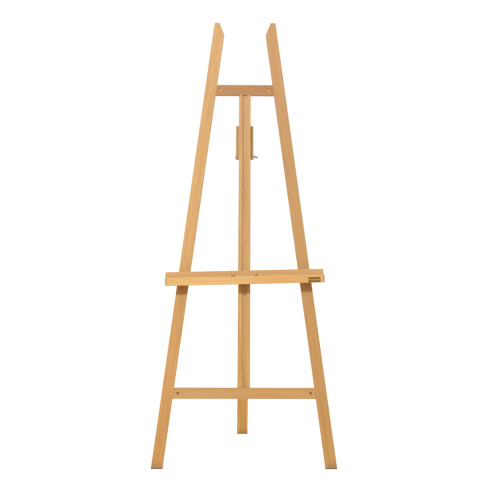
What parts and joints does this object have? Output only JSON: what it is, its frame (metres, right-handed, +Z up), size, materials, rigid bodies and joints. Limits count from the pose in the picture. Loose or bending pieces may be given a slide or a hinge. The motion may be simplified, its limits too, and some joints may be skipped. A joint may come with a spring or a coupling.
{
  "type": "artist easel",
  "caption": "Free-standing wooden lyre easel: splayed front legs, crossbars, grooved mast, hinged folding rear leg and a sliding canvas tray with a front lip.",
  "frame": {"origin": "on the floor, midway between the front feet and the rear foot, and midway between the two front feet", "axes": "+Z up, -Y towards the painter in front of the easel, +X to the painter's right"},
  "size_m": [0.729, 0.6664, 1.7497],
  "materials": {
    "oiled_beech_frame": "oiled, satin",
    "oiled_beech_hinge": "oiled, satin",
    "oiled_beech_tray": "oiled, satin",
    "beech_dowel": "raw, fluted",
    "zinc_plated_steel": "zinc plated",
    "barrel_nut_steel": "yellow zinc plated",
    "foot_rubber": "matt",
    "bronzed_plate": "antiqued, satin",
    "brass_pin": "satin"
  },
  "bodies": {
    "frame": {"left_leg": "oiled_beech_frame", "right_leg": "oiled_beech_frame", "left_foot_pad": "foot_rubber", "right_foot_pad": "foot_rubber", "upper_crossbar": "oiled_beech_frame", "lower_crossbar": "oiled_beech_frame", "mast": "oiled_beech_frame", "hinge_block": "oiled_beech_hinge", "left_hinge_cheek": "oiled_beech_hinge", "right_hinge_cheek": "oiled_beech_hinge", "cheek_screws": "zinc_plated_steel", "hinge_bolt": "zinc_plated_steel", "hinge_washer": "zinc_plated_steel", "upper_leg_bolts": "zinc_plated_steel", "lower_leg_bolts": "zinc_plated_steel", "upper_barrel_nuts": "barrel_nut_steel", "lower_barrel_nuts": "barrel_nut_steel", "leg_dowels": "beech_dowel"},
    "rear_leg_body": {"rear_leg": "oiled_beech_frame", "rear_foot_pad": "foot_rubber"},
    "hinge_nut": {"hinge_wing_nut": "zinc_plated_steel"},
    "peg": {"guide_peg": "beech_dowel"},
    "tray": {"tray_back_board": "oiled_beech_tray", "tray_ledge": "oiled_beech_tray", "tray_lip": "oiled_beech_tray", "ledge_screws": "zinc_plated_steel", "lip_dowels": "beech_dowel", "tray_bolts": "zinc_plated_steel", "clamp_bar": "oiled_beech_tray", "tray_washers": "zinc_plated_steel", "nameplate": "bronzed_plate", "plate_pins": "brass_pin"},
    "left_tray_nut": {"left_tray_wing_nut": "zinc_plated_steel"},
    "right_tray_nut": {"right_tray_wing_nut": "zinc_plated_steel"}
  },
  "joints": [
    {"name": "rear_leg_fold", "type": "hinge", "parent": "frame", "child": "rear_leg_body", "pos_m": [0, -0.01721, 1.20769], "axis": [-1, 0, 0], "range_deg": [0, 27.65]},
    {"name": "hinge_nut_turn", "type": "hinge", "parent": "frame", "child": "hinge_nut", "pos_m": [0.0366, -0.01721, 1.20769], "axis": [1, 0, 0], "continuous": true},
    {"name": "tray_slide", "type": "slide", "parent": "frame", "child": "peg", "axis": [0, 0.2079, 0.9781], "range_m": [-0.43, 0.43]},
    {"name": "tray_level", "type": "hinge", "parent": "peg", "child": "tray", "pos_m": [0, -0.17487, 0.74496], "axis": [0, -0.9781, 0.2079], "range_deg": [-5, 5]},
    {"name": "left_tray_nut_turn", "type": "hinge", "parent": "tray", "child": "left_tray_nut", "pos_m": [-0.04548, -0.1357, 0.73541], "axis": [0, 0.9781, -0.2079], "continuous": true},
    {"name": "right_tray_nut_turn", "type": "hinge", "parent": "tray", "child": "right_tray_nut", "pos_m": [0.04548, -0.1352, 0.73774], "axis": [0, 0.9781, -0.2079], "continuous": true}
  ]
}
